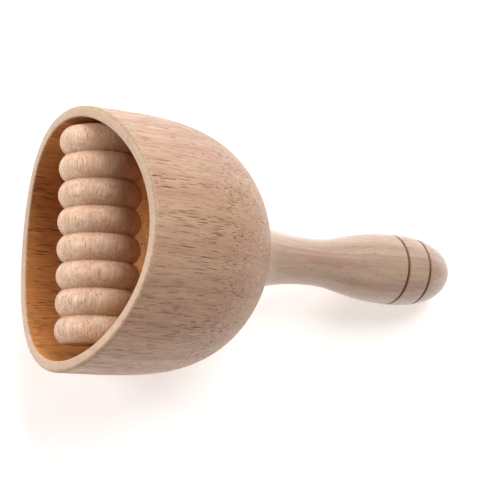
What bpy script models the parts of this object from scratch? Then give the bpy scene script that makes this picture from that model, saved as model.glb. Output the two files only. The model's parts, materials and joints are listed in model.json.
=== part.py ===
"""A wooden roller massager: a turned cup on a handle, with a beaded roller across its mouth.

Every turned piece is modelled upright on its own turning axis. The cup and handle share one axis:
it runs down local Z from the mouth, and the roller lies across the mouth along local Y. The whole
tool then lies on its side, touching the floor with the cup and with the end of the handle.
"""
import math

import bpy
from mathutils import Vector

# Driving dimensions, in metres. Depths are measured along the handle from the mouth's highest points.
CUP_RADIUS = 0.0475
WALL = 0.0041
MOUTH_DIP = 0.0077          # how far the sides of the mouth lie behind its highest points
MOUTH_SLANT = 0.028         # rise of the mouth along the roller: it isn't cut quite square
DIP_FADE = 0.034            # depth at which the wall is straight again
RIM_ROUND = 0.0018          # rounding of the rim's outer edge
RIM_EASE = 0.0006           # rounding of its inner edge

BASE_DEPTH = 0.077          # where the cup ends and the handle starts
BASE_RADIUS = 0.0147
DOME_START = 0.0143         # depth at which the outside starts to curve in
DOME_PULL_FRONT = 0.0308    # the two pulls set how full the dome is
DOME_PULL_BACK = 0.0329
DOME_END_SLOPE = math.radians(-66)
BOWL_START = 0.016
BOWL_DEPTH = 0.063
BOWL_PULL_FRONT = 0.029
BOWL_PULL_BACK = 0.036

NECK_SLOPE = math.radians(-30)
NECK_PULL_FRONT = 0.0086
NECK_PULL_BACK = 0.0113
WAIST_DEPTH = 0.1083
WAIST_RADIUS = 0.0090
WAIST_PULL = 0.0144
BULB_DEPTH = 0.1510
BULB_RADIUS = 0.0138
BULB_PULL_FRONT = 0.0234
BULB_PULL_BACK = 0.0118
END_DEPTH = 0.1767
END_PULL = 0.0107
GROOVE_DEPTHS = (0.1475, 0.1589)
GROOVE_WIDTH = 0.0012
GROOVE_CUT = 0.0006

BEADS = 8
BEAD_PITCH = 0.0097
ROLLER_RADIUS = 0.0150
BEAD_CUT = 0.0027           # depth of the V between two beads
ROLLER_DEPTH = 0.0139       # depth of the roller's axis behind the mouth
ROLLER_SHIFT = 0.0018       # it has end play, and lies towards one side

AXLE_RADIUS = 0.0025
AXLE_HALF = 0.0456
PLUG_RADIUS = 0.0037
PLUG_LENGTH = 0.0016
DOWEL_RADIUS = 0.005
DOWEL_LENGTH = 0.030
DOWEL_IN_CUP = 0.010
EDGE = 0.0004               # chamfer on the rod, plugs and dowel

GAP = 0.0003                # clearance between pieces
BODY_STEPS = 40
ROLLER_STEPS = 28
HOLE_SIDES = 24

PALE_WOOD = (0.62, 0.42, 0.28)
HANDLE_WOOD = (0.62, 0.43, 0.27)
ROLLER_WOOD = (0.66, 0.46, 0.31)
DOWEL_WOOD = (0.70, 0.54, 0.36)
PLUG_WOOD = (0.52, 0.34, 0.21)
STEEL = (0.55, 0.55, 0.56)


def clear_scene():
    for obj in list(bpy.data.objects):
        bpy.data.objects.remove(obj, do_unlink=True)


def new_collection(name):
    collection = bpy.data.collections.new(name)
    bpy.context.scene.collection.children.link(collection)
    return collection


def material(name, color, roughness, metallic=0.0):
    mat = bpy.data.materials.new(name)
    mat.use_nodes = True
    shader = mat.node_tree.nodes["Principled BSDF"]
    shader.inputs["Base Color"].default_value = (*color, 1.0)
    shader.inputs["Roughness"].default_value = roughness
    shader.inputs["Metallic"].default_value = metallic
    return mat


def bezier(start, pull_start, pull_end, end, count):
    """Points of one cubic curve, without its first point."""
    points = []
    for i in range(1, count + 1):
        t = i / count
        u = 1 - t
        weights = (u ** 3, 3 * u * u * t, 3 * u * t * t, t ** 3)
        places = zip(start, pull_start, pull_end, end)
        points.append(tuple(sum(w * p for w, p in zip(weights, place)) for place in places))
    return points


def dome():
    """Outside of the cup, from where its wall starts to curve in to the base, as (radius, depth)."""
    start = (CUP_RADIUS, DOME_START)
    end = (BASE_RADIUS, BASE_DEPTH)
    front = (CUP_RADIUS, DOME_START + DOME_PULL_FRONT)
    back = (BASE_RADIUS - DOME_PULL_BACK * math.sin(DOME_END_SLOPE),
            BASE_DEPTH - DOME_PULL_BACK * math.cos(DOME_END_SLOPE))
    return [start] + bezier(start, front, back, end, 12)


def bowl():
    """Inside of the cup, from its deepest point up to its straight wall, as (radius, depth)."""
    radius = CUP_RADIUS - WALL
    start = (0.0, BOWL_DEPTH)
    end = (radius, BOWL_START)
    return [start] + bezier(start, (BOWL_PULL_BACK, BOWL_DEPTH), (radius, BOWL_START + BOWL_PULL_FRONT), end, 9)


def rim():
    """The rim, from its inner edge over the face to its rounded outer edge, as (radius, depth)."""
    inner = CUP_RADIUS - WALL
    points = [(inner, RIM_EASE), (inner + RIM_EASE, 0.0)]
    for i in range(4):
        angle = math.radians(30 * i)
        radius = CUP_RADIUS - RIM_ROUND + RIM_ROUND * math.sin(angle)
        points.append((radius, RIM_ROUND - RIM_ROUND * math.cos(angle)))
    return points


def socket(depth, radius):
    """Two points of the flat end of a bore, from its wall to the axis."""
    return [(radius, depth), (0.0, depth)]


def cup_outline():
    bore = DOWEL_RADIUS + GAP
    bottom = BASE_DEPTH - DOWEL_IN_CUP - GAP
    return bowl() + rim() + dome() + [(bore, BASE_DEPTH)] + socket(bottom, bore)


def grooved(points):
    """The same outline with a V cut at each burnt groove."""
    result = []
    for (r0, d0), (r1, d1) in zip(points, points[1:]):
        result.append((r0, d0))
        for depth in GROOVE_DEPTHS:
            if d0 < depth <= d1:
                radius = r0 + (r1 - r0) * (depth - d0) / (d1 - d0)
                result.append((radius, depth - GROOVE_WIDTH / 2))
                result.append((radius - GROOVE_CUT, depth))
                result.append((radius, depth + GROOVE_WIDTH / 2))
    result.append(points[-1])
    return result


def handle_side():
    """Outside of the handle, from the cup to its round end, as (radius, depth)."""
    top = (BASE_RADIUS, BASE_DEPTH + GAP)
    waist = (WAIST_RADIUS, WAIST_DEPTH)
    bulb = (BULB_RADIUS, BULB_DEPTH)
    end = (0.0, END_DEPTH)
    flare = (top[0] + NECK_PULL_FRONT * math.sin(NECK_SLOPE), top[1] + NECK_PULL_FRONT * math.cos(NECK_SLOPE))
    neck = bezier(top, flare, (WAIST_RADIUS, WAIST_DEPTH - NECK_PULL_BACK), waist, 6)
    swell = bezier(waist, (WAIST_RADIUS, WAIST_DEPTH + WAIST_PULL), (BULB_RADIUS, BULB_DEPTH - BULB_PULL_FRONT),
                   bulb, 7)
    cap = bezier(bulb, (BULB_RADIUS, BULB_DEPTH + BULB_PULL_BACK), (END_PULL, END_DEPTH), end, 7)
    return grooved([top] + neck + swell + cap)


def handle_outline():
    bore = DOWEL_RADIUS + GAP
    bottom = BASE_DEPTH - DOWEL_IN_CUP + DOWEL_LENGTH + GAP
    return list(reversed(socket(bottom, bore))) + [(bore, BASE_DEPTH + GAP)] + handle_side()


def roller_outline():
    """The beads from one end to the other and back through the bore, as (radius, distance along)."""
    half = BEAD_PITCH / 2
    arc_radius = (half ** 2 + BEAD_CUT ** 2) / (2 * BEAD_CUT)
    swing = math.asin(half / arc_radius)
    length = BEADS * BEAD_PITCH
    points = [(AXLE_RADIUS + GAP, -length / 2), (ROLLER_RADIUS - BEAD_CUT, -length / 2)]
    for bead in range(BEADS):
        centre = -length / 2 + (bead + 0.5) * BEAD_PITCH
        for i in range(1, 6):
            angle = swing * (2 * i / 5 - 1)
            radius = ROLLER_RADIUS - arc_radius + arc_radius * math.cos(angle)
            points.append((radius, centre + arc_radius * math.sin(angle)))
    points.append((AXLE_RADIUS + GAP, length / 2))
    return points


def turned(name, outline, steps, collection, closed=False):
    """A solid of revolution about local Z. Depth runs down, and a flat side faces local X."""
    half_step = math.pi / steps
    verts = [(r * math.cos(half_step), r * math.sin(half_step), -depth) for r, depth in outline]
    edges = [(i, i + 1) for i in range(len(verts) - 1)]
    if closed:
        edges.append((len(verts) - 1, 0))
    mesh = bpy.data.meshes.new(name)
    mesh.from_pydata(verts, edges, [])
    obj = bpy.data.objects.new(name, mesh)
    collection.objects.link(obj)
    screw = obj.modifiers.new("turn", "SCREW")
    screw.axis = "Z"
    screw.angle = math.tau
    screw.steps = steps
    screw.render_steps = steps
    screw.use_merge_vertices = True
    screw.merge_threshold = 0.00001
    screw.use_smooth_shade = False
    bpy.context.view_layer.update()
    depsgraph = bpy.context.evaluated_depsgraph_get()
    solid = bpy.data.meshes.new_from_object(obj.evaluated_get(depsgraph))
    obj.modifiers.clear()
    obj.data = solid
    bpy.data.meshes.remove(mesh)
    solid.name = name
    return obj


def shape_mouth(cup):
    """Lower the two sides of the mouth, less and less down the wall."""
    for vert in cup.data.vertices:
        radius = math.hypot(vert.co.x, vert.co.y)
        fade = max(0.0, 1 + vert.co.z / DIP_FADE)
        if radius > 0 and vert.co.z > -BOWL_START:
            dip = MOUTH_DIP * (vert.co.x / radius) ** 2 + MOUTH_SLANT * vert.co.y
            vert.co.z -= dip * fade


def rod(name, radius, length, edge, collection):
    """A plain cylinder along local Z, with its ends chamfered where edge isn't 0."""
    bpy.ops.mesh.primitive_cylinder_add(vertices=HOLE_SIDES, radius=radius, depth=length)
    obj = bpy.context.object
    obj.name = name
    obj.data.name = name
    for owner in obj.users_collection:
        owner.objects.unlink(obj)
    collection.objects.link(obj)
    if edge:
        bevel = obj.modifiers.new("edge", "BEVEL")
        bevel.width = edge
        bevel.segments = 1
        bevel.limit_method = "ANGLE"
        bevel.angle_limit = math.radians(60)
    return obj


def across(obj, y):
    """Lay a turned piece along the roller's axis, at a distance y from the middle."""
    obj.rotation_euler = (math.radians(-90), 0, 0)
    obj.location = (0, y, -ROLLER_DEPTH)


def cut(obj, cutter):
    cutter.hide_render = True
    cutter.display_type = "WIRE"
    boolean = obj.modifiers.new(cutter.name, "BOOLEAN")
    boolean.operation = "DIFFERENCE"
    boolean.solver = "EXACT"
    boolean.object = cutter


def finish(obj, mat, parent):
    obj.parent = parent
    obj.data.materials.clear()
    obj.data.materials.append(mat)
    obj.data.shade_smooth()
    obj.data.set_sharp_from_angle(angle=math.radians(35))


def make_cup(parts, cutters, frame):
    cup = turned("cup", cup_outline(), BODY_STEPS, parts)
    shape_mouth(cup)
    seat = CUP_RADIUS - PLUG_LENGTH - GAP
    hole = rod("axle_hole_cutter", AXLE_RADIUS + GAP, 3 * CUP_RADIUS, 0, cutters)
    across(hole, 0)
    hole.parent = frame
    cut(cup, hole)
    for side, word in ((-1, "front"), (1, "back")):
        recess = rod("plug_recess_cutter_" + word, PLUG_RADIUS + GAP, CUP_RADIUS, 0, cutters)
        across(recess, side * (seat + CUP_RADIUS / 2))
        recess.parent = frame
        cut(cup, recess)
    finish(cup, material("cup_wood", PALE_WOOD, 0.42), frame)
    return cup


def make_handle(parts, frame):
    handle = turned("handle", handle_outline(), BODY_STEPS, parts)
    finish(handle, material("handle_wood", HANDLE_WOOD, 0.42), frame)
    return handle


def make_handle_dowel(parts, frame):
    dowel = rod("handle_dowel", DOWEL_RADIUS, DOWEL_LENGTH, EDGE, parts)
    dowel.location = (0, 0, -(BASE_DEPTH - DOWEL_IN_CUP + DOWEL_LENGTH / 2))
    finish(dowel, material("dowel_wood", DOWEL_WOOD, 0.6), frame)
    return dowel


def make_roller(parts, frame):
    roller = turned("roller", roller_outline(), ROLLER_STEPS, parts, closed=True)
    across(roller, ROLLER_SHIFT)
    finish(roller, material("roller_wood", ROLLER_WOOD, 0.4), frame)
    return roller


def make_axle(parts, frame):
    axle = rod("roller_axle", AXLE_RADIUS, 2 * AXLE_HALF, EDGE, parts)
    across(axle, 0)
    finish(axle, material("axle_steel", STEEL, 0.3, 1.0), frame)
    return axle


def make_plugs(parts, frame):
    plugs = []
    for side, word in ((-1, "front"), (1, "back")):
        plug = rod("axle_plug_" + word, PLUG_RADIUS, PLUG_LENGTH, EDGE / 2, parts)
        across(plug, side * (CUP_RADIUS - PLUG_LENGTH / 2))
        finish(plug, material("plug_wood_" + word, PLUG_WOOD, 0.5), frame)
        plugs.append(plug)
    return plugs


def reach(outline, tilt):
    """How far below the turning axis's start a tilted outline reaches, on its flat lowest side."""
    flat = math.cos(math.pi / BODY_STEPS)
    return max(d * math.sin(tilt) + r * flat * math.cos(tilt) for r, d in outline)


def resting_tilt():
    """The angle at which the cup and the handle both touch the floor."""
    low = 0.0
    high = math.radians(45)
    for _ in range(40):
        middle = (low + high) / 2
        if reach(dome(), middle) > reach(handle_side(), middle):
            low = middle
        else:
            high = middle
    return low


def set_down(frame, nodes):
    """Lay the tool on its side, with the floor at 0 and the box's middle over the origin."""
    frame.rotation_euler = (0, resting_tilt() - math.radians(90), 0)
    bpy.context.view_layer.update()
    depsgraph = bpy.context.evaluated_depsgraph_get()
    corners = []
    for node in nodes:
        shape = node.evaluated_get(depsgraph)
        corners += [shape.matrix_world @ vert.co for vert in shape.data.vertices]
    low = Vector(min(c[i] for c in corners) for i in range(3))
    high = Vector(max(c[i] for c in corners) for i in range(3))
    frame.location = (-(low.x + high.x) / 2, -(low.y + high.y) / 2, -low.z)


def main():
    clear_scene()
    parts = new_collection("roller_massager")
    cutters = new_collection("cutters")
    frame = bpy.data.objects.new("turning_frame", None)
    parts.objects.link(frame)
    nodes = [make_cup(parts, cutters, frame), make_handle(parts, frame), make_handle_dowel(parts, frame)]
    nodes += [make_roller(parts, frame), make_axle(parts, frame)]
    nodes += make_plugs(parts, frame)
    set_down(frame, nodes)
    bpy.context.view_layer.update()


main()
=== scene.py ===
"""The looks of the wooden roller massager: turned and sanded wood, lying on a pale floor.

Every turned piece is modelled upright on its own axis, with the grain of the wood along local Z, and
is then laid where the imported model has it. Lengths are in metres. Depths on the cup and the handle run
from the mouth's highest points towards the end of the handle. Colors are linear red, green and blue.
"""
import json
import math

import bpy
from mathutils import Matrix, Vector


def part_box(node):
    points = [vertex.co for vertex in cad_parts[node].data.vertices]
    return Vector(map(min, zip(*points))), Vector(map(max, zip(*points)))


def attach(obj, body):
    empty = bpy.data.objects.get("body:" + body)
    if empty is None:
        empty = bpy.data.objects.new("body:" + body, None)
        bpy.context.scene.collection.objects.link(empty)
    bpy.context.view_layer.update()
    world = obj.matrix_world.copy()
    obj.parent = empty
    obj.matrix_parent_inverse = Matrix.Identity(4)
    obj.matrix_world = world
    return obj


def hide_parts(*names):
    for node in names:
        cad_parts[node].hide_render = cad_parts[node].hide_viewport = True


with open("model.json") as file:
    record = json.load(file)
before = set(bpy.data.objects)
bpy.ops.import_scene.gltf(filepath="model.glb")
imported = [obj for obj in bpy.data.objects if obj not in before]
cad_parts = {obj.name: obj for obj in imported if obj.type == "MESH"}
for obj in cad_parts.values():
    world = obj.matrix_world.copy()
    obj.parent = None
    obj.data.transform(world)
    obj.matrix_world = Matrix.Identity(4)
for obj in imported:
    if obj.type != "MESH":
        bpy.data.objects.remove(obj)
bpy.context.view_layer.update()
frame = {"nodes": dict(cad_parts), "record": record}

# Where things are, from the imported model.
RECORD = frame["record"]
HANDLE_WAY = Vector(RECORD["mounts"][0]["axis"]).normalized()
AXLE_MIDDLE = Vector(RECORD["behaviour"]["joints"][0]["pos_m"])
CUP_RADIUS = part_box("axle_plug_back")[1][1]
ROLLER_LOW, ROLLER_HIGH = (Vector(corner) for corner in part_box("roller"))
ACROSS = Vector((0, 1, 0))

# Cup: wall, mouth, outside and bowl. A pull is how far a curve's control point lies from its end.
WALL = 0.0041
MOUTH_DIP = 0.0077
MOUTH_SLANT = 0.028
DIP_FADE = 0.034
RIM_ROUND = 0.0015
RIM_EASE = 0.0006
BASE_DEPTH = 0.0771
BASE_RADIUS = 0.0147
DOME_START = 0.0143
DOME_END_SLOPE = math.radians(-66)
DOME_PULLS = (0.0308, 0.0329)
BOWL_START = 0.016
BOWL_DEPTH = 0.063
BOWL_PULLS = (0.036, 0.029)
CUP_SIDES = 256

# The rim's rings of faces: those of its inner round, flat and outer round. The first rings of the outer
# round have the rim's wood, the next ones the edge's wood, and the last ones the wood of the outside.
INNER_ROUND = 4
FLAT = 3
OUTER_ROUND = 10
OUTER_RIM = 3
OUTER_EDGE = 5

# Handle: neck, waist, bulb, end and grooves. WAIST and BULB are (radius, depth), GROOVES are depths.
NECK_SLOPE = math.radians(-30)
NECK_PULLS = (0.0086, 0.0113)
WAIST = (0.0091, 0.1083)
WAIST_PULL = 0.0144
BULB = (0.0141, 0.1510)
BULB_PULLS = (0.0234, 0.0118)
END_DEPTH = 0.1767
END_PULL = 0.0107
HANDLE_SIDES = 160
GROOVES = (0.1475, 0.1589)
GROOVE_WIDTH = 0.0014
GROOVE_CUT = 0.0006
GROOVE_MARGIN = 0.0002

# Roller, rod, plugs and dowel. END_RING is a ring on the roller's flat ends, this far from the edge.
ROLLER_DEPTH = 0.0139
ROLLER_RADIUS = 0.0150
ROLLER_SIDES = 192
ROLLER_SHARP = 50
BEADS = 8
BEAD_PITCH = 0.0097
BEAD_CUT = 0.0027
BEAD_STEPS = 22
END_RING = 0.0012
AXLE_RADIUS = 0.0025
AXLE_HALF = 0.0456
AXLE_EDGE = 0.0003
BORE_RADIUS = 0.0028
PLUG_RADIUS = 0.0037
PLUG_LENGTH = 0.0016
PLUG_FRONT_EDGE = 0.00012
PLUG_BACK_EDGE = 0.0002
DOWEL_BORE = 0.0053
DOWEL_IN_CUP = 0.0103
DOWEL_IN_HANDLE = 0.0203
GLUE_LINE = 0.00006

# Points nearer to the turning axis than this lie on it. Edges are shaded sharp above SHARP degrees.
ON_AXIS = 1e-7
SHARP = 32

# Woods, as (pale, deep): the two ends of their growth bands.
CUP_WOOD = ((0.57, 0.370, 0.254), (0.475, 0.275, 0.178))
# The bowl's colors are painted shade: the same wood painted darker and more orange, for the shade and the
# warm light bounced inside the bowl.
BOWL_PAINTED_SHADE_WOOD = ((0.66, 0.300, 0.095), (0.50, 0.180, 0.048))
RIM_WOOD = ((0.50, 0.345, 0.245), (0.45, 0.300, 0.205))
EDGE_WOOD = ((0.43, 0.290, 0.170), (0.35, 0.225, 0.125))
HANDLE_WOOD = ((0.60, 0.450, 0.335), (0.46, 0.285, 0.215))
ROLLER_WOOD = ((0.62, 0.420, 0.290), (0.50, 0.300, 0.190))
PLUG_WOOD = ((0.47, 0.31, 0.20), (0.38, 0.23, 0.14))
DOWEL_WOOD = ((0.66, 0.50, 0.33), (0.56, 0.40, 0.25))
# The bowl turns to this paler color towards its upper wall, between these places along the cup's local X:
# painted light where light falls on that wall.
PAINTED_LIT_WALL = (0.62, 0.350, 0.185)
PAINTED_LIT_FROM = -0.004
PAINTED_LIT_TO = 0.034

# Pores: their color in most of the wood, inside the cup, where it is painted darker as painted shade, and in
# the rim.
PORE_COLOR = (0.150, 0.052, 0.025)
BOWL_PAINTED_SHADE_PORES = (0.075, 0.022, 0.008)
RIM_PORES = (0.30, 0.17, 0.09)

# Grain features: size across the grain, size along it, and an offset that keeps them from lining up.
WANDER = (0.030, 0.070, (0, 0, 0))
CLOUDS = (0.020, 0.090, (3.1, 0.4, 1.7))
HUES = (0.011, 0.070, (9.1, 3.3, 5.2))
STREAKS = (0.0022, 0.050, (7.7, 2.3, 4.0))
FIBRES = (0.00075, 0.013, (0.2, 5.1, 0.9))
PORE_BANDS = (0.0070, 0.026, (1.3, 8.8, 2.9))

# Pores: their feature, and in its cells the least radius, the spread of radii and the edge's softness.
LONG_PORES = ((0.00048, 0.0096, (0.3, 0.8, 0.1)), 0.06, 0.230, 0.05)
SHORT_PORES = ((0.00050, 0.0048, (4.3, 2.8, 6.1)), 0.05, 0.26, 0.08)
PORE_THICKNESS = (0.70, 1.12)

# The noise values at which each tone starts to show and shows in full, and how strongly it then shows.
BANDS_SHOW = (0.36, 0.66)
YELLOW_SHOWS = (0.48, 0.66, 0.0, 0.45)
PINK_SHOWS = (0.50, 0.34, 0.0, 0.36)
STREAKS_SHOW = (0.40, 0.72, 0.0, 0.30)
DARK_FIBRES_SHOW = (0.44, 0.68)
LIGHT_FIBRES_SHOW = (0.46, 0.28)
THICK_PORES_SHOW = (0.36, 0.62)
LONG_PORES_SHOW = 0.92
SHORT_PORES_SHOW = 0.60

# The rest of the grain: how it leans and wanders, where its pith is, and how close its bands are.
LEAN = (0.022, -0.016, 0.0)
WANDER_REACH = (0.005, 0.005, 0.0)
PITH = (0.060, 0.035)
BANDS_PER_METRE = 230.0
BAND_SHARE = 0.55
CLOUD_SHARE = 0.45

# What the tones of the grain do to the pale or the deep color.
YELLOWER = (0.97, 0.96, 0.76)
PINKER = (1.08, 0.95, 1.00)
STREAK_SHADE = (0.80, 0.80, 0.80)
FIBRE_SHADE = (0.70, 0.70, 0.70)
FIBRE_SHINE = (1.22, 1.22, 1.22)
SHORT_PORE_SHADE = (0.56, 0.46, 0.40)

# Wood finish.
WOOD_SPECULAR = 0.42
COAT_ROUGHNESS = 0.26
PORE_ROUGHNESS = 0.25
FIBRE_ROUGHNESS = 0.08
SHORT_PORE_DEPTH = 0.5
FIBRE_RELIEF = 0.30
GRAIN_BUMP = 0.55
PORE_DEPTH = 0.00016

# Burnt grooves: how far from its middle the scorch starts and is full, its strength and its color.
SCORCHES = ((0.0012, 0.0006, 0.60, (0.36, 0.185, 0.095)),
            (0.00070, 0.00036, 0.95, (0.150, 0.045, 0.014)))

# Browned steel.
STEEL_DARK = (0.12, 0.070, 0.040)
STEEL_LIGHT = (0.20, 0.125, 0.075)
STEEL_ROUGHNESS = (0.34, 0.50)
DRAWN_LINES = (0.00025, 0.02, (0, 0, 0))
DRAWN_LINES_SHOW = (0.3, 0.7)
DRAWN_BUMP = 0.2
DRAWN_DEPTH = 0.00005

# Floor and studio. The world looks white, and lights the piece less than it looks.
FLOOR_SIZE = 2.2
FLOOR_DARK = (0.93, 0.93, 0.93)
FLOOR_LIGHT = (0.95, 0.95, 0.95)
FLOOR_CLOUDS = 6.0
FLOOR_GLOW = 0.46
FLOOR_GLOW_COLOR = (1.0, 0.97, 0.945, 1.0)
WORLD_LIGHT = 0.25

# Lamps: name, distance and way from LAMP_MIDDLE, size, power and color. They all point at it.
LAMP_MIDDLE = (-0.03, 0.0, 0.045)
WHITE = (1.0, 1.0, 1.0)
LAMPS = (("left_lamp", 1.2, (-0.909, 0.268, 0.320), 0.40, 8, WHITE),
         ("top_lamp", 1.3, (0.10, 0.50, 0.86), 0.80, 9.5, WHITE),
         ("far_lamp", 1.2, (-0.10, 0.865, 0.47), 0.55, 6, WHITE),
         ("warm_fill", 1.2, (0.40, -0.60, 0.70), 0.70, 1.5, (1.0, 0.66, 0.54)))

# Camera: its place, what it looks at and its up side, in cup radii from the middle of the mouth.
CAMERA_AT = (-6.30, -1.54, 11.27)
CAMERA_AIM = (1.105, 0.019, 0.69)
CAMERA_UP = (-0.0839, 0.9926, 0.0878)
LENS = 130.6
SENSOR_WIDTH = 36.0


def turning_frame(origin, down, side):
    """A matrix whose local Z is the turning axis, pointing against down, and whose local Y is side."""
    z = -down.normalized()
    x = side.cross(z).normalized()
    y = z.cross(x)
    matrix = Matrix((x, y, z)).transposed().to_4x4()
    matrix.translation = origin
    return matrix


MOUTH = AXLE_MIDDLE - HANDLE_WAY * ROLLER_DEPTH
BODY_FRAME = turning_frame(MOUTH, HANDLE_WAY, ACROSS)


def across_frame(shift):
    """A frame with local Z along the rod, its origin shift metres from the middle of the rod."""
    return turning_frame(AXLE_MIDDLE + ACROSS * shift, -ACROSS, HANDLE_WAY)


# ---------------------------------------------------------------- outlines, as (radius, depth)

def bezier(start, pull_start, pull_end, end, count):
    """Points of one cubic curve, without its first point."""
    points = []
    for i in range(1, count + 1):
        t = i / count
        u = 1 - t
        weights = (u ** 3, 3 * u * u * t, 3 * u * t * t, t ** 3)
        places = zip(start, pull_start, pull_end, end)
        points.append(tuple(sum(w * p for w, p in zip(weights, place)) for place in places))
    return points


def straight(start, end, count):
    """Points of a straight line, without its first point."""
    return [tuple(a + (b - a) * i / count for a, b in zip(start, end)) for i in range(1, count + 1)]


def bowl_outline():
    """The bowl, from the middle of its bottom to the rim."""
    radius = CUP_RADIUS - WALL
    start = (0.0, BOWL_DEPTH)
    end = (radius, BOWL_START)
    back, front = BOWL_PULLS
    points = [start] + bezier(start, (back, BOWL_DEPTH), (radius, BOWL_START + front), end, 40)
    return points + straight(end, (radius, RIM_EASE), 14)


def rim_outline():
    """The rim: a small round at the bowl, a flat, and a larger round at the outside."""
    inner = CUP_RADIUS - WALL
    points = []
    for i in range(1, INNER_ROUND + 1):
        angle = math.radians(90 * i / INNER_ROUND)
        points.append((inner + RIM_EASE * (1 - math.cos(angle)), RIM_EASE * (1 - math.sin(angle))))
    points += straight(points[-1], (CUP_RADIUS - RIM_ROUND, 0.0), FLAT)
    for i in range(1, OUTER_ROUND + 1):
        angle = math.radians(90 * i / OUTER_ROUND)
        radius = CUP_RADIUS - RIM_ROUND + RIM_ROUND * math.sin(angle)
        points.append((radius, RIM_ROUND * (1 - math.cos(angle))))
    return points


def dome_outline():
    """The outside of the cup, from the rim to the edge of its base."""
    start = (CUP_RADIUS, DOME_START)
    end = (BASE_RADIUS, BASE_DEPTH)
    front, back = DOME_PULLS
    last = (BASE_RADIUS - back * math.sin(DOME_END_SLOPE), BASE_DEPTH - back * math.cos(DOME_END_SLOPE))
    wall = straight((CUP_RADIUS, RIM_ROUND), start, 12)
    return wall + bezier(start, (CUP_RADIUS, DOME_START + front), last, end, 64)


def base_outline():
    """The seat for the handle and the dowel's blind bore."""
    bottom = BASE_DEPTH - DOWEL_IN_CUP
    return [(DOWEL_BORE, BASE_DEPTH), (DOWEL_BORE, bottom), (0.0, bottom)]


def groove(depth, radius, slope):
    """A groove with eased edges, deepest in its middle."""
    steps = 6
    points = []
    for i in range(-steps, steps + 1):
        s = i / steps
        fall = GROOVE_CUT * (1 - abs(s) ** 1.5) * (1 + 0.15 * math.cos(math.pi * s))
        away = s * GROOVE_WIDTH / 2
        points.append((radius + slope * away - fall, depth + away))
    return points


def with_grooves(points):
    """The same outline with the grooves put in, in place of the points next to them."""
    result = []
    for (r0, d0), (r1, d1) in zip(points, points[1:]):
        near = [depth for depth in GROOVES if abs(d0 - depth) < GROOVE_WIDTH / 2 + GROOVE_MARGIN]
        if not near:
            result.append((r0, d0))
        for depth in GROOVES:
            if d0 < depth <= d1:
                slope = (r1 - r0) / (d1 - d0)
                result += groove(depth, r0 + slope * (depth - d0), slope)
    result.append(points[-1])
    return result


def handle_outline():
    """The handle: up the dowel's socket, then down the neck, waist, bulb and round end."""
    top = (BASE_RADIUS, BASE_DEPTH + GLUE_LINE)
    end = (0.0, END_DEPTH)
    front, back = NECK_PULLS
    flare = (top[0] + front * math.sin(NECK_SLOPE), top[1] + front * math.cos(NECK_SLOPE))
    neck = bezier(top, flare, (WAIST[0], WAIST[1] - back), WAIST, 40)
    front, back = BULB_PULLS
    swell = bezier(WAIST, (WAIST[0], WAIST[1] + WAIST_PULL), (BULB[0], BULB[1] - front), BULB, 60)
    cap = bezier(BULB, (BULB[0], BULB[1] + back), (END_PULL, END_DEPTH), end, 50)
    bottom = BASE_DEPTH + DOWEL_IN_HANDLE
    socket = [(0.0, bottom), (DOWEL_BORE, bottom), (DOWEL_BORE, top[1])]
    return socket + with_grooves([top] + neck + swell + cap)


def roller_outline():
    """Beads from one end to the other, then back along the bore. It closes on its first point."""
    half = BEAD_PITCH / 2
    arc = (half ** 2 + BEAD_CUT ** 2) / (2 * BEAD_CUT)
    swing = math.asin(half / arc)
    length = BEADS * BEAD_PITCH
    end_radius = ROLLER_RADIUS - BEAD_CUT - END_RING
    points = [(BORE_RADIUS, -length / 2), (end_radius, -length / 2)]
    for bead in range(BEADS):
        centre = -length / 2 + (bead + 0.5) * BEAD_PITCH
        for i in range(BEAD_STEPS + 1):
            angle = swing * (2 * i / BEAD_STEPS - 1)
            if bead and i == 0:
                continue
            along = centre + arc * math.sin(angle)
            points.append((ROLLER_RADIUS - arc + arc * math.cos(angle), along))
    points += [(end_radius, length / 2), (BORE_RADIUS, length / 2)]
    points += straight(points[-1], points[0], 24)[:-1]
    return points


# ---------------------------------------------------------------- meshes

def lathe(name, outline, sides, ring=False):
    """A turned mesh about local Z. The outline runs down the outside and up a hollow."""
    verts = []
    rows = []
    for radius, depth in outline:
        if radius < ON_AXIS:
            rows.append([len(verts)])
            verts.append((0.0, 0.0, -depth))
            continue
        rows.append(list(range(len(verts), len(verts) + sides)))
        for i in range(sides):
            angle = math.tau * i / sides
            verts.append((radius * math.cos(angle), radius * math.sin(angle), -depth))
    pairs = list(zip(rows, rows[1:]))
    if ring:
        pairs.append((rows[-1], rows[0]))
    faces = []
    for upper, lower in pairs:
        for i in range(sides):
            j = (i + 1) % sides
            if len(upper) == 1:
                faces.append((upper[0], lower[i], lower[j]))
            elif len(lower) == 1:
                faces.append((upper[i], lower[0], upper[j]))
            else:
                faces.append((upper[i], lower[i], lower[j], upper[j]))
    mesh = bpy.data.meshes.new(name)
    mesh.from_pydata(verts, [], faces)
    mesh.update()
    obj = bpy.data.objects.new(name, mesh)
    bpy.context.scene.collection.objects.link(obj)
    return obj


def smooth(obj, angle=SHARP):
    """Shade the mesh smooth, except across edges sharper than the angle in degrees."""
    obj.data.shade_smooth()
    obj.data.set_sharp_from_angle(angle=math.radians(angle))


def settle(obj, matrix, body, node_name):
    """Put a finished piece in place, on its body, and hide the imported part that it stands in for."""
    obj.data.transform(matrix)
    obj.matrix_world = Matrix()
    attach(obj, body)
    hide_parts(node_name)


def shape_mouth(obj):
    """The mouth dips at its two sides and slants a little along the roller."""
    for vert in obj.data.vertices:
        x, y, z = vert.co
        radius = math.hypot(x, y)
        fade = max(0.0, 1 + z / DIP_FADE)
        if radius > 0 and fade > 0:
            vert.co.z -= (MOUTH_DIP * (x / radius) ** 2 + MOUTH_SLANT * y) * fade


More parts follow.
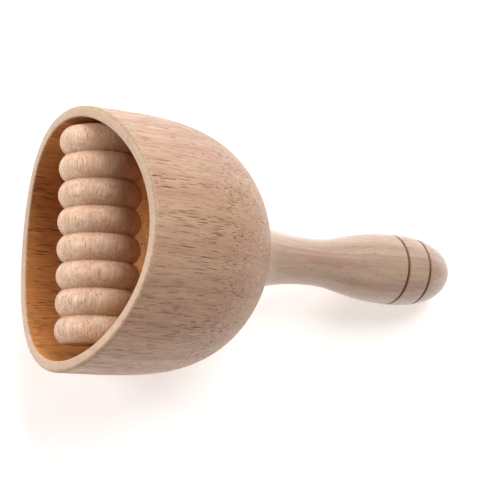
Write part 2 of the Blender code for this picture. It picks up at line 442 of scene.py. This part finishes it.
def cylinder(name, radius, length, sides, matrix):
    """A closed cylinder about the local Z of a frame, with its middle at the frame's origin."""
    obj = lathe(name, [(0, -length / 2), (radius, -length / 2), (radius, length / 2), (0, length / 2)], sides)
    obj.matrix_world = matrix
    return obj


def drill(obj, tools):
    """Cut the tools out of the mesh, and remove them."""
    for tool in tools:
        cut = obj.modifiers.new("cut", "BOOLEAN")
        cut.solver = "EXACT"
        cut.object = tool
    bpy.context.view_layer.update()
    shape = obj.evaluated_get(bpy.context.evaluated_depsgraph_get())
    mesh = bpy.data.meshes.new_from_object(shape)
    obj.modifiers.clear()
    obj.data = mesh
    for tool in tools:
        bpy.data.objects.remove(tool, do_unlink=True)


# ---------------------------------------------------------------- materials

def node(tree, kind, inputs=None, **settings):
    """A new shader node, with sockets linked and values set."""
    made = tree.nodes.new(kind)
    for name, value in settings.items():
        setattr(made, name, value)
    for name, value in (inputs or {}).items():
        if isinstance(value, bpy.types.NodeSocket):
            tree.links.new(value, made.inputs[name])
        else:
            made.inputs[name].default_value = value
    return made


def math_node(tree, operation, *values):
    return node(tree, "ShaderNodeMath", dict(enumerate(values)), operation=operation).outputs[0]


def vector_node(tree, operation, a, b):
    return node(tree, "ShaderNodeVectorMath", {0: a, 1: b}, operation=operation).outputs[0]


def ramp(tree, value, low, high, out_low=0.0, out_high=1.0):
    """Smooth step of a value from low to high."""
    inputs = {"Value": value, "From Min": low, "From Max": high, "To Min": out_low, "To Max": out_high}
    return node(tree, "ShaderNodeMapRange", inputs, interpolation_type="SMOOTHSTEP").outputs["Result"]


def mix(tree, factor, a, b):
    """Color a where the factor is 0, and color b where it is 1."""
    made = node(tree, "ShaderNodeMix", {"Factor": factor}, data_type="RGBA")
    for index, value in ((6, a), (7, b)):
        if isinstance(value, bpy.types.NodeSocket):
            tree.links.new(value, made.inputs[index])
        else:
            made.inputs[index].default_value = (*value, 1.0)
    return made.outputs[2]


def tinted(color, factors):
    return tuple(c * factor for c, factor in zip(color, factors))


def stretched(tree, place, feature):
    """Coordinates in cells of the feature's size across and along the grain."""
    across, along, offset = feature
    scale = (1 / across, 1 / across, 1 / along)
    return node(tree, "ShaderNodeMapping", {"Vector": place, "Scale": scale, "Location": offset}).outputs[0]


def noise(tree, place, feature, detail):
    cells = stretched(tree, place, feature)
    return node(tree, "ShaderNodeTexNoise", {"Vector": cells, "Scale": 1.0, "Detail": detail})


def pores(tree, place, kind, thick):
    """1 in a pore and 0 outside. They are dashes along the grain, dots across it, and wide where thick."""
    feature, radius, spread, edge = kind
    cells = stretched(tree, place, feature)
    made = node(tree, "ShaderNodeTexVoronoi", {"Vector": cells, "Scale": 1.0, "Randomness": 1.0})
    chance = node(tree, "ShaderNodeSeparateColor", {"Color": made.outputs["Color"]}).outputs[0]
    reach = math_node(tree, "MULTIPLY_ADD", chance, spread, radius)
    reach = math_node(tree, "MULTIPLY", reach, thick)
    inside = math_node(tree, "SUBTRACT", reach, made.outputs["Distance"])
    return ramp(tree, inside, -edge, edge)


def new_material(name, roughness, specular):
    mat = bpy.data.materials.new(name)
    mat.use_nodes = True
    shader = mat.node_tree.nodes["Principled BSDF"]
    shader.inputs["Roughness"].default_value = roughness
    shader.inputs["Specular IOR Level"].default_value = specular
    return mat, mat.node_tree, shader


def own_place(tree, matrix):
    """A point's place in the frame that its piece was turned in."""
    place = node(tree, "ShaderNodeTexCoord").outputs["Object"]
    inputs = {"Vector": place, "Location": matrix.translation, "Rotation": matrix.to_euler()}
    return node(tree, "ShaderNodeMapping", inputs, vector_type="TEXTURE").outputs[0]


def burnt_lines(tree, place, color, depths):
    """Scorch the wood where the grooves were burnt in."""
    height = node(tree, "ShaderNodeSeparateXYZ", {"Vector": place}).outputs["Z"]
    for depth in depths:
        away = math_node(tree, "ABSOLUTE", math_node(tree, "ADD", height, depth))
        for start, full, strength, burnt in SCORCHES:
            color = mix(tree, ramp(tree, away, start, full, 0.0, strength), color, burnt)
    return color


def growth_bands(tree, place):
    """A tone from 0 to 1 that follows the growth bands round a pith outside the piece."""
    parts = node(tree, "ShaderNodeSeparateXYZ", {"Vector": place})
    dx = math_node(tree, "SUBTRACT", parts.outputs["X"], PITH[0])
    dy = math_node(tree, "SUBTRACT", parts.outputs["Y"], PITH[1])
    squares = math_node(tree, "ADD", math_node(tree, "MULTIPLY", dx, dx), math_node(tree, "MULTIPLY", dy, dy))
    bands = math_node(tree, "MULTIPLY", math_node(tree, "SQRT", squares), BANDS_PER_METRE)
    rings = node(tree, "ShaderNodeTexNoise", {"W": bands, "Scale": 1.0, "Detail": 3.0},
                 noise_dimensions="1D").outputs[0]
    clouds = noise(tree, place, CLOUDS, 3.0).outputs[0]
    tone = math_node(tree, "MULTIPLY", rings, BAND_SHARE)
    tone = math_node(tree, "ADD", tone, math_node(tree, "MULTIPLY", clouds, CLOUD_SHARE))
    return ramp(tree, tone, *BANDS_SHOW)


def wood(name, matrix, colors, offset, pore_color=PORE_COLOR, lines=(), roughness=0.43, porous=1.0,
         grain=0.42, coat=0.10, painted_lit_wall=None):
    """Open-pored, straight-grained wood, solid through the piece, with its grain along local Z."""
    pale, deep = colors
    mat, tree, shader = new_material(name, roughness, WOOD_SPECULAR)
    own = own_place(tree, matrix)
    place = node(tree, "ShaderNodeMapping", {"Vector": own, "Location": offset, "Rotation": LEAN}).outputs[0]
    wander = noise(tree, place, WANDER, 2.0).outputs["Color"]
    bend = vector_node(tree, "SUBTRACT", wander, (0.5, 0.5, 0.5))
    place = vector_node(tree, "ADD", place, vector_node(tree, "MULTIPLY", bend, WANDER_REACH))

    # growth bands, their slow change of hue, and the fibres
    hue = noise(tree, place, HUES, 2.0).outputs[0]
    streaks = noise(tree, place, STREAKS, 3.0).outputs[0]
    fibres = noise(tree, place, FIBRES, 3.0).outputs[0]
    color = mix(tree, growth_bands(tree, place), pale, deep)
    color = mix(tree, ramp(tree, hue, *YELLOW_SHOWS), color, tinted(pale, YELLOWER))
    color = mix(tree, ramp(tree, hue, *PINK_SHOWS), color, tinted(deep, PINKER))
    # Painted light: the piece turns to the given paler color along its local X, on the side where light
    # falls.
    if painted_lit_wall:
        height = node(tree, "ShaderNodeSeparateXYZ", {"Vector": own}).outputs["X"]
        color = mix(tree, ramp(tree, height, PAINTED_LIT_FROM, PAINTED_LIT_TO), color, painted_lit_wall)
    color = mix(tree, ramp(tree, streaks, *STREAKS_SHOW), color, tinted(deep, STREAK_SHADE))
    dark_fibres = ramp(tree, fibres, *DARK_FIBRES_SHOW, 0.0, grain)
    light_fibres = ramp(tree, fibres, *LIGHT_FIBRES_SHOW, 0.0, grain)
    color = mix(tree, dark_fibres, color, tinted(deep, FIBRE_SHADE))
    color = mix(tree, light_fibres, color, tinted(pale, FIBRE_SHINE))

    # pores, narrower and wider in loose bands
    cluster = noise(tree, place, PORE_BANDS, 2.0).outputs[0]
    thick = ramp(tree, cluster, *THICK_PORES_SHOW, *(part * porous for part in PORE_THICKNESS))
    big = pores(tree, place, LONG_PORES, thick)
    small = pores(tree, place, SHORT_PORES, thick)
    short_pores = math_node(tree, "MULTIPLY", small, SHORT_PORES_SHOW)
    long_pores = math_node(tree, "MULTIPLY", big, LONG_PORES_SHOW)
    color = mix(tree, short_pores, color, tinted(deep, SHORT_PORE_SHADE))
    color = mix(tree, long_pores, color, pore_color)
    color = burnt_lines(tree, own, color, lines)
    tree.links.new(color, shader.inputs["Base Color"])

    # the finish, duller in the pores
    shader.inputs["Coat Weight"].default_value = coat
    shader.inputs["Coat Roughness"].default_value = COAT_ROUGHNESS
    open_pores = math_node(tree, "MAXIMUM", big, math_node(tree, "MULTIPLY", small, SHORT_PORE_DEPTH))
    rough = math_node(tree, "MULTIPLY_ADD", open_pores, PORE_ROUGHNESS, roughness)
    rough = math_node(tree, "ADD", rough, math_node(tree, "MULTIPLY", fibres, FIBRE_ROUGHNESS))
    tree.links.new(rough, shader.inputs["Roughness"])
    height = math_node(tree, "SUBTRACT", math_node(tree, "MULTIPLY", fibres, FIBRE_RELIEF), open_pores)
    bump = node(tree, "ShaderNodeBump", {"Height": height, "Strength": GRAIN_BUMP, "Distance": PORE_DEPTH})
    tree.links.new(bump.outputs[0], shader.inputs["Normal"])
    return mat


def steel(name, matrix):
    """Browned steel rod, with faint drawing lines along it."""
    mat, tree, shader = new_material(name, 0.3, 0.5)
    shader.inputs["Metallic"].default_value = 1.0
    lines = noise(tree, own_place(tree, matrix), DRAWN_LINES, 2.0).outputs[0]
    tree.links.new(mix(tree, lines, STEEL_DARK, STEEL_LIGHT), shader.inputs["Base Color"])
    rough = ramp(tree, lines, *DRAWN_LINES_SHOW, *STEEL_ROUGHNESS)
    tree.links.new(rough, shader.inputs["Roughness"])
    bump = node(tree, "ShaderNodeBump", {"Height": lines, "Strength": DRAWN_BUMP, "Distance": DRAWN_DEPTH})
    tree.links.new(bump.outputs[0], shader.inputs["Normal"])
    return mat


# ---------------------------------------------------------------- pieces

def make_cup():
    """The cup. Its outside, rim and the rim's outer edge each have their own wood colors. Its bowl has the
    wood painted darker and more orange as painted shade and bounced light, paler towards its upper wall as
    painted light.
    """
    bowl = bowl_outline()
    outline = bowl + rim_outline() + dome_outline() + base_outline()
    cup = lathe("cup_turned", outline, CUP_SIDES)
    rows = [1] * (len(bowl) - 1) + [2] * (INNER_ROUND + FLAT + OUTER_RIM) + [3] * OUTER_EDGE
    rows += [0] * (len(outline) - 1 - len(rows))
    for face in cup.data.polygons:
        face.material_index = rows[face.index // CUP_SIDES]
    shape_mouth(cup)
    offset = (0.013, 0.021, 0.0)
    # The bowl's wood is painted shade and bounced light, with a painted lit upper wall.
    woods = [wood("cup_wood", BODY_FRAME, CUP_WOOD, offset, porous=1.18),
             wood("cup_bowl_wood_painted_shade", BODY_FRAME, BOWL_PAINTED_SHADE_WOOD, offset, BOWL_PAINTED_SHADE_PORES, roughness=0.5,
                  porous=1.15, coat=0.0, painted_lit_wall=PAINTED_LIT_WALL),
             wood("cup_rim_wood", BODY_FRAME, RIM_WOOD, offset, RIM_PORES, grain=0.25),
             wood("cup_edge_wood", BODY_FRAME, EDGE_WOOD, offset, RIM_PORES)]
    for mat in woods:
        cup.data.materials.append(mat)
    cup.matrix_world = BODY_FRAME
    tools = [cylinder("tool", BORE_RADIUS, 3 * CUP_RADIUS, 48, across_frame(0))]
    for side in (-1, 1):
        place = across_frame(side * (CUP_RADIUS * 1.5 - PLUG_LENGTH))
        tools.append(cylinder("tool", PLUG_RADIUS + GLUE_LINE, CUP_RADIUS, 64, place))
    drill(cup, tools)
    smooth(cup)
    settle(cup, BODY_FRAME, "body", "cup")


def make_handle():
    handle = lathe("handle_turned", handle_outline(), HANDLE_SIDES)
    smooth(handle)
    handle.data.materials.append(wood("handle_wood", BODY_FRAME, HANDLE_WOOD, (0.052, 0.013, 0.05),
                                      lines=GROOVES, roughness=0.36, porous=0.60, grain=0.22, coat=0.60))
    settle(handle, BODY_FRAME, "body", "handle")


def make_roller():
    roller = lathe("roller_turned", roller_outline(), ROLLER_SIDES, ring=True)
    smooth(roller, ROLLER_SHARP)
    place = across_frame((ROLLER_HIGH.y + ROLLER_LOW.y) / 2)
    roller.data.materials.append(wood("roller_wood", place, ROLLER_WOOD, (0.031, 0.047, 0.02)))
    settle(roller, place, "roller", "roller")


def make_axle():
    outline = [(0.0, -AXLE_HALF), (AXLE_RADIUS - AXLE_EDGE, -AXLE_HALF)]
    outline.append((AXLE_RADIUS, -AXLE_HALF + AXLE_EDGE))
    outline += straight(outline[-1], (AXLE_RADIUS, AXLE_HALF - AXLE_EDGE), 20)
    outline += [(AXLE_RADIUS - AXLE_EDGE, AXLE_HALF), (0.0, AXLE_HALF)]
    axle = lathe("axle_rod", outline, 48)
    smooth(axle)
    place = across_frame(0)
    axle.data.materials.append(steel("axle_steel", place))
    settle(axle, place, "body", "roller_axle")


def make_plug(side, node_name):
    """A plug sanded flush with the round outside of the cup."""
    outline = [(0.0, 0.0), (PLUG_RADIUS * 0.5, 0.0), (PLUG_RADIUS * 0.8, 0.0)]
    outline += [(PLUG_RADIUS - PLUG_FRONT_EDGE, 0.0), (PLUG_RADIUS, PLUG_FRONT_EDGE)]
    outline += [(PLUG_RADIUS, PLUG_LENGTH - PLUG_BACK_EDGE), (PLUG_RADIUS - PLUG_BACK_EDGE, PLUG_LENGTH)]
    outline.append((0.0, PLUG_LENGTH))
    plug = lathe(node_name + "_turned", outline, 64)
    matrix = turning_frame(AXLE_MIDDLE + ACROSS * side * CUP_RADIUS, -ACROSS * side, HANDLE_WAY)
    for vert in plug.data.vertices:
        if vert.co.z > -PLUG_LENGTH / 2:
            vert.co.z += math.sqrt(CUP_RADIUS ** 2 - vert.co.x ** 2) - CUP_RADIUS
    smooth(plug)
    plug.data.materials.append(wood(node_name + "_wood", matrix, PLUG_WOOD, (0.02 * side, 0.01, 0.03)))
    settle(plug, matrix, "body", node_name)


def make_dowel():
    """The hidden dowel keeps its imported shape, and gets a finish."""
    dowel = frame["nodes"]["handle_dowel"]
    dowel.data.materials.clear()
    dowel.data.materials.append(wood("dowel_wood", BODY_FRAME, DOWEL_WOOD, (0.0, 0.0, 0.0)))


# ---------------------------------------------------------------- floor, light and camera

def make_floor():
    """A matt white floor that glows a little, so that it looks white round the piece."""
    bpy.ops.mesh.primitive_plane_add(size=FLOOR_SIZE)
    floor = bpy.context.object
    floor.name = "floor"
    mat, tree, shader = new_material("pale_floor", 0.8, 0.1)
    own = node(tree, "ShaderNodeTexCoord").outputs["Object"]
    soft = node(tree, "ShaderNodeTexNoise", {"Vector": own, "Scale": FLOOR_CLOUDS, "Detail": 2.0}).outputs[0]
    tree.links.new(mix(tree, soft, FLOOR_DARK, FLOOR_LIGHT), shader.inputs["Base Color"])
    shader.inputs["Emission Color"].default_value = FLOOR_GLOW_COLOR
    shader.inputs["Emission Strength"].default_value = FLOOR_GLOW
    floor.data.materials.append(mat)


def area_light(name, place, size, power, aim, color):
    data = bpy.data.lights.new(name, "AREA")
    data.shape = "DISK"
    data.size = size
    data.energy = power
    data.color = color
    lamp = bpy.data.objects.new(name, data)
    lamp.location = place
    lamp.rotation_euler = (aim - place).to_track_quat("-Z", "Y").to_euler()
    bpy.context.scene.collection.objects.link(lamp)


def make_lights():
    middle = Vector(LAMP_MIDDLE)
    for name, distance, way, size, power, color in LAMPS:
        area_light(name, middle + distance * Vector(way), size, power, middle, color)
    world = bpy.data.worlds.new("studio")
    bpy.context.scene.world = world
    world.use_nodes = True
    tree = world.node_tree
    shown = node(tree, "ShaderNodeLightPath").outputs["Is Camera Ray"]
    back = tree.nodes["Background"]
    back.inputs["Color"].default_value = (1, 1, 1, 1)
    tree.links.new(ramp(tree, shown, 0.0, 1.0, WORLD_LIGHT, 1.0), back.inputs["Strength"])


def make_camera():
    radii = Matrix((HANDLE_WAY, ACROSS, HANDLE_WAY.cross(ACROSS))).transposed()
    place = MOUTH + radii @ Vector(CAMERA_AT) * CUP_RADIUS
    aim = MOUTH + radii @ Vector(CAMERA_AIM) * CUP_RADIUS
    data = bpy.data.cameras.new("camera")
    data.lens = LENS
    data.sensor_width = SENSOR_WIDTH
    camera = bpy.data.objects.new("camera", data)
    bpy.context.scene.collection.objects.link(camera)
    camera.matrix_world = turning_frame(place, aim - place, radii @ Vector(CAMERA_UP))
    bpy.context.scene.camera = camera


make_cup()
make_handle()
make_roller()
make_axle()
make_plug(-1, "axle_plug_front")
make_plug(1, "axle_plug_back")
make_dowel()
make_floor()
make_lights()
make_camera()
bpy.context.scene.view_settings.view_transform = "Standard"
